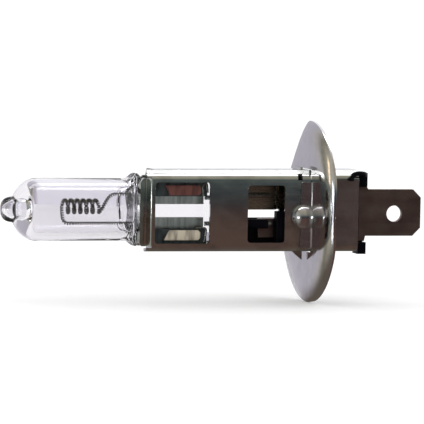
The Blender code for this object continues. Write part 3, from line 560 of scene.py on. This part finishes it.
def lead_welds(material):
    """Bent ends for the leads, laid on the pinch's front face, where the window shows them."""
    x, y = WELD_X, WELD_Y
    upper = [
        (x - 0.5 * MM, y, 2.2 * MM),
        (x - 0.55 * MM, y, 3.5 * MM),
        (x - 0.1 * MM, y, 3.8 * MM),
        (x + 0.1 * MM, y, 2.6 * MM),
    ]
    lower = [
        (x - 1.5 * MM, y, -2.15 * MM),
        (x - 0.2 * MM, y, -2.2 * MM),
        (x - 0.1 * MM, y, -3.0 * MM),
        (x - 0.3 * MM, y, -4.0 * MM),
    ]
    piece = strand("lead_welds", [smooth_route(upper), smooth_route(lower)], WELD_WIRE_RADIUS, material)


def smooth_route(points, per_span=10):
    """Points of a Catmull-Rom curve through a short list of points."""
    points = [Vector(p) for p in points]
    padded = [2 * points[0] - points[1], *points, 2 * points[-1] - points[-2]]
    route = []
    for a, b, c, d in zip(padded, padded[1:], padded[2:], padded[3:]):
        for i in range(per_span):
            t = i / per_span
            cubic = (2 * a - 5 * b + 4 * c - d) * t**2 + (3 * b - a - 3 * c + d) * t**3
            route.append(0.5 * (2 * b + (c - a) * t + cubic))
    return route + [points[-1]]


def coil_route():
    """The filament's middle line: lower leg's bend, the coil, and the climb to the upper leg."""
    bend = smooth_route(
        [
            (COIL_START_X + 1.3 * MM, 0.0, LOWER_LEG_Z),
            (COIL_START_X + 0.45 * MM, 0.0, LOWER_LEG_Z + 0.02 * MM),
            (COIL_START_X + 0.02 * MM, 0.15 * MM, LOWER_LEG_Z + 0.5 * MM),
            (COIL_START_X - 0.05 * MM, 0.6 * MM, COIL_AXIS_Z - 0.75 * MM),
        ]
    )
    coil = []
    steps = round(COIL_TURNS * COIL_POINTS_PER_TURN)
    for i in range(steps + 1):
        turns = COIL_TURNS * i / steps
        angle = math.tau * turns - math.pi / 2
        x = COIL_START_X + COIL_PITCH * turns
        coil.append(Vector((x, -COIL_RADIUS * math.sin(angle), COIL_AXIS_Z + COIL_RADIUS * math.cos(angle))))
    end_x = COIL_START_X + COIL_PITCH * COIL_TURNS
    climb = smooth_route(
        [
            (end_x + 0.4 * MM, 0.15 * MM, COIL_AXIS_Z - 0.55 * MM),
            (end_x + 0.95 * MM, 0.1 * MM, COIL_AXIS_Z + 0.45 * MM),
            (end_x + 1.6 * MM, 0.0, UPPER_LEG_Z - 0.35 * MM),
            (end_x + 2.3 * MM, 0.0, UPPER_LEG_Z),
        ]
    )
    return [*bend, *coil, *climb]


def resample(route, step):
    """Points at even steps along a route, with the direction at each."""
    points, directions = [], []
    carried = 0.0
    for start, end in zip(route, route[1:]):
        length = (end - start).length
        if length == 0.0:
            continue
        direction = (end - start) / length
        while carried < length:
            points.append(start + direction * carried)
            directions.append(direction)
            carried += step
        carried -= length
    return points, directions


def wound(route, pitch, radius, points_per_turn, phase=0.0):
    """A fine helix of a given pitch and radius round a route."""
    points, directions = resample(route, pitch / points_per_turn)
    side = directions[0].orthogonal().normalized()
    helix = []
    for i, (point, along) in enumerate(zip(points, directions)):
        side = (side - along * side.dot(along)).normalized()
        other = along.cross(side)
        angle = phase + math.tau * i / points_per_turn
        helix.append(point + radius * (math.cos(angle) * side + math.sin(angle) * other))
    return helix


def strand(name, routes, radius, material, sides=2):
    """Round wires along one or more routes, as one piece."""
    curve = bpy.data.curves.new(name, "CURVE")
    curve.dimensions = "3D"
    curve.bevel_depth = radius
    curve.bevel_resolution = sides
    curve.use_fill_caps = True
    for route in routes:
        spline = curve.splines.new("POLY")
        spline.points.add(len(route) - 1)
        for target, point in zip(spline.points, route):
            target.co = (*point, 1.0)
    obj = bpy.data.objects.new(name, curve)
    curve.materials.append(material)
    bpy.context.scene.collection.objects.link(obj)
    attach(obj, "root")
    return obj


def wound_filament(tungsten):
    """The coil and the two legs, each wound of finer wire."""
    route = coil_route()
    coil = strand("filament_winding", [fine_winding(route, COIL_WINDING_RADIUS)], WINDING_WIRE, tungsten, 1)
    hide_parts("filament")
    ends = (
        ("leg_jacket_upper", route[-1], UPPER_LEG_END_X),
        ("leg_jacket_lower", route[0], LOWER_LEG_END_X),
    )
    for node, start, end_x in ends:
        leg = [Vector(start), Vector((end_x, start.y, start.z))]
        piece = strand(node + "_winding", [fine_winding(leg, LEG_WINDING_RADIUS)], WINDING_WIRE, tungsten, 1)
        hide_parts(node)


def fine_winding(route, radius):
    """The fine wire's helix round a route."""
    return wound(route, WINDING_PITCH, radius, WINDING_POINTS)


def braided_sleeve(material):
    """The lead's sleeve with the crossing strands of its braid on it."""
    low, high = (Vector(corner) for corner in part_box("lead_sleeve"))
    middle = (low + high) / 2
    radius = (high.z - low.z) / 2 - STRAND_RADIUS
    line = [Vector((low.x, middle.y, middle.z)), Vector((high.x, middle.y, middle.z))]
    pitch = (high.x - low.x) / SLEEVE_TURNS
    routes = []
    for i in range(SLEEVE_STRANDS):
        helix = wound(line, pitch, radius, BRAID_POINTS, math.tau * i / SLEEVE_STRANDS)
        routes.append(helix)
        routes.append([Vector((p.x, p.y, 2 * middle.z - p.z)) for p in helix])
    braid = strand("sleeve_braid", routes, STRAND_RADIUS, material, 1)


def softened(frame, node, material, width):
    """A copy of a CAD node with its sharp edges rounded over, which stands for it."""
    mesh = frame["nodes"][node].data.copy()
    mesh.name = node + "_finish"
    shape = bmesh.new()
    shape.from_mesh(mesh)
    bmesh.ops.remove_doubles(shape, verts=shape.verts, dist=0.001 * MM)
    bmesh.ops.dissolve_limit(shape, angle_limit=math.radians(0.5), verts=shape.verts, edges=shape.edges)
    shape.to_mesh(mesh)
    shape.free()
    mesh.materials.clear()
    mesh.materials.append(material)
    mesh.shade_smooth()
    piece = bpy.data.objects.new(node + "_finish", mesh)
    bpy.context.scene.collection.objects.link(piece)
    rounding = piece.modifiers.new("rounding", "BEVEL")
    rounding.width = width
    rounding.segments = ROUNDING_SEGMENTS
    rounding.limit_method = "ANGLE"
    rounding.angle_limit = math.radians(35)
    rounding.harden_normals = True
    flatness = piece.modifiers.new("flatness", "WEIGHTED_NORMAL")
    flatness.weight = 100
    flatness.keep_sharp = True
    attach(piece, "root")
    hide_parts(node)


def assign(frame, node, material):
    """Gives a CAD node its finish."""
    mesh = frame["nodes"][node].data
    mesh.materials.clear()
    mesh.materials.append(material)


def dress(frame):
    """Gives every node its finish, or the finer piece that stands for it."""
    shell = plated_steel("holder_plate_look", PLATE, 0.16, crown)
    disc = plated_steel("flange_plate_look", DISC_PLATE, 0.13, rolled_rim, 0.93)
    strap = plated_steel("strap_look", STRAP_PLATE, 0.25)
    tungsten = drawn_wire("tungsten_look", TUNGSTEN, 0.4)
    molybdenum = drawn_wire("molybdenum_look", MOLYBDENUM, 0.3)
    foil_look, black, quartz_look = foil(), moulding(), quartz()
    plain_nodes = {
        "inner_lead_upper": molybdenum,
        "inner_lead_lower": molybdenum,
        "foil_upper": foil_look,
        "foil_lower": foil_look,
        "outer_lead_upper": molybdenum,
        "outer_lead_lower": molybdenum,
        "lead_sleeve": black,
    }
    for node, material in plain_nodes.items():
        assign(frame, node, material)
    softened(frame, "holder_front_shell", shell, SHEET_EDGE)
    softened(frame, "holder_back_shell", shell, SHEARED_EDGE)
    softened(frame, "flange_ring", disc, FLANGE_EDGE)
    softened(frame, "ground_strap", strap, SHEET_EDGE)
    softened(frame, "terminal_blade", blade_metal(), BLADE_EDGE)
    softened(frame, "insulator_front", black, MOULDED_EDGE)
    softened(frame, "insulator_back", black, MOULDED_EDGE)
    smooth_capsule(quartz_look)
    pinch_ribs()
    lead_welds(molybdenum)
    seam_lip(plated_steel("trim_look", PLATE, 0.18))
    wound_filament(tungsten)
    braided_sleeve(black)


def make_camera():
    """The camera, turned until the bulb's axis lies level in the picture."""
    azimuth, elevation = math.radians(CAMERA_AZIMUTH), math.radians(CAMERA_ELEVATION)
    level = Vector((-math.sin(azimuth), math.cos(azimuth), 0))
    look = level * math.cos(elevation) - Vector((0, 0, math.sin(elevation)))
    right = Vector((math.cos(azimuth), math.sin(azimuth), 0))
    up = right.cross(look)
    roll = math.atan2(up.x, right.x)  # turns the picture until the bulb's axis lies level
    level_right = right * math.cos(roll) + up * math.sin(roll)
    level_up = up * math.cos(roll) - right * math.sin(roll)
    target = -level_right * ORIGIN_RIGHT - level_up * ORIGIN_UP
    camera = bpy.data.cameras.new("camera")
    camera.sensor_width = SENSOR
    camera.lens = SENSOR * CAMERA_DISTANCE / VIEW_WIDTH
    camera.clip_start = 0.01
    camera.clip_end = 20.0
    obj = bpy.data.objects.new("camera", camera)
    bpy.context.scene.collection.objects.link(obj)
    turn = Matrix((level_right, level_up, -look)).transposed().to_4x4()
    obj.matrix_world = Matrix.Translation(target - look * CAMERA_DISTANCE) @ turn
    bpy.context.scene.camera = obj


def area_light(name, place, aim, size, power, colour=(1, 1, 1)):
    """A rectangular light that shows in polished surfaces and glass but leaves matt ones alone."""
    light = bpy.data.lights.new(name, "AREA")
    light.shape = "RECTANGLE"
    light.size, light.size_y = size
    light.energy = power
    light.color = colour
    obj = bpy.data.objects.new(name, light)
    bpy.context.scene.collection.objects.link(obj)
    obj.location = place
    obj.rotation_euler = (Vector(aim) - Vector(place)).to_track_quat("-Z", "Y").to_euler()
    obj.visible_diffuse = False


def world_ramp(tree, source, low, high, stops):
    """A colour ramp over a range of one coordinate of the view direction."""
    spread = tree.nodes.new("ShaderNodeMapRange")
    spread.inputs["From Min"].default_value = low
    spread.inputs["From Max"].default_value = high
    tree.links.new(source, spread.inputs["Value"])
    ramp = tree.nodes.new("ShaderNodeValToRGB")
    elements = ramp.color_ramp.elements
    while len(elements) < len(stops):
        elements.new(0.5)
    for element, (place, colour) in zip(elements, stops):
        element.position = (place - low) / (high - low)
        element.color = (*colour, 1.0)
    tree.links.new(spread.outputs["Result"], ramp.inputs["Fac"])
    return ramp.outputs["Color"]


def world_range(tree, source, low, high):
    """A share that goes smoothly from 0 to 1 between two values of a coordinate."""
    node = tree.nodes.new("ShaderNodeMapRange")
    node.inputs["From Min"].default_value = low
    node.inputs["From Max"].default_value = high
    node.interpolation_type = "SMOOTHSTEP"
    tree.links.new(source, node.inputs["Value"])
    return node.outputs["Result"]


def world_mix(tree, share, first, second):
    """A mix of two colours or colour sockets."""
    node = tree.nodes.new("ShaderNodeMix")
    node.data_type = "RGBA"
    tree.links.new(share, node.inputs["Factor"])
    for value, socket in ((first, node.inputs["A"]), (second, node.inputs["B"])):
        if isinstance(value, bpy.types.NodeSocket):
            tree.links.new(value, socket)
        else:
            socket.default_value = (*value, 1.0)
    return node.outputs["Result"]


def make_world():
    """A white studio. Glossy rays alone see a tinted room, which colours the polished surfaces."""
    world = bpy.data.worlds.new("studio")
    world.use_nodes = True
    tree = world.node_tree
    place = tree.nodes.new("ShaderNodeTexCoord")
    split = tree.nodes.new("ShaderNodeSeparateXYZ")
    tree.links.new(place.outputs["Generated"], split.inputs["Vector"])
    front = world_ramp(tree, split.outputs["Z"], -1.0, 1.0, ROOM_FRONT)
    back = world_ramp(tree, split.outputs["X"], -1.0, 1.0, ROOM_BACK)
    aside = world_range(tree, split.outputs["X"], -0.5, -0.9)
    front = world_mix(tree, aside, front, ROOM_LEFT)
    below = world_range(tree, split.outputs["Z"], -0.15, -0.4)
    back = world_mix(tree, below, back, ROOM_BELOW)
    facing = world_range(tree, split.outputs["Y"], -0.35, 0.25)
    room = world_mix(tree, facing, front, back)
    path = tree.nodes.new("ShaderNodeLightPath")
    direct = math_node(world, "SUBTRACT", 1.0, path.outputs["Is Glossy Ray"])
    colour = world_mix(tree, direct, room, STUDIO_WHITE)
    tree.links.new(colour, tree.nodes["Background"].inputs["Color"])
    bpy.context.scene.world = world
    bpy.context.scene.view_settings.view_transform = "Standard"


def make_floor(underside):
    """A pale matt floor just under the flange."""
    white = {"Emission_Color": (1.0, 1.0, 1.0, 1.0), "Emission_Strength": 0.12}
    material, shader = new_material("floor_look", (0.97, 0.97, 0.97), 0.9, 0.0, **white)
    grain = add_noise(material, 40.0, 3.0)
    add_bump(material, shader, grain.outputs["Fac"], 0.02, 0.1 * MM)
    half = FLOOR_SIZE / 2
    shape = bmesh.new()
    corners = [(-half, -half), (half, -half), (half, half), (-half, half)]
    shape.faces.new([shape.verts.new((x, y, underside - 0.02 * MM)) for x, y in corners])
    mesh = bpy.data.meshes.new("floor")
    shape.to_mesh(mesh)
    shape.free()
    mesh.materials.append(material)
    floor = bpy.data.objects.new("floor", mesh)
    bpy.context.scene.collection.objects.link(floor)
    floor.visible_glossy = False


def make_lights():
    """A long overhead softbox, a lamp on each side in front, and a cool and a warm card by the glass end."""
    centre = (-0.012, 0.0, 0.0)
    area_light("overhead_softbox", (-0.012, 0.09, 0.32), centre, (0.4, 0.09), 0.6)
    area_light("lamp_left", (-0.45, -0.21, 0.0), centre, (0.06, 0.06), 0.26)
    area_light("lamp_right", (0.45, -0.23, 0.0), centre, (0.05, 0.05), 0.16)
    area_light("cool_card", (-0.42, 0.1, 0.0), centre, (0.09, 0.2), 0.2, (0.86, 0.92, 1.0))
    area_light("warm_card", (-0.36, 0.24, 0.08), centre, (0.02, 0.12), 0.02, (1.0, 0.72, 0.42))


def plain(bounds):
    """A box as lists of numbers."""
    return [list(map(float, corner)) for corner in bounds]


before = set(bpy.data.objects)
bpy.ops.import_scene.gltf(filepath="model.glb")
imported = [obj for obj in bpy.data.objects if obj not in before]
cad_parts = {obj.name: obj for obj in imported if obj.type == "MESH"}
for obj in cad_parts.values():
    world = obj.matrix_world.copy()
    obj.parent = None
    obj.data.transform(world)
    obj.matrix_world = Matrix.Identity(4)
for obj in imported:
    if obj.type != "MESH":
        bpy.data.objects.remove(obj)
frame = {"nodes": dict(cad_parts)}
cad_box = plain(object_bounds())
dress(frame)
make_camera()
make_world()
make_lights()
make_floor(cad_box[0][2])
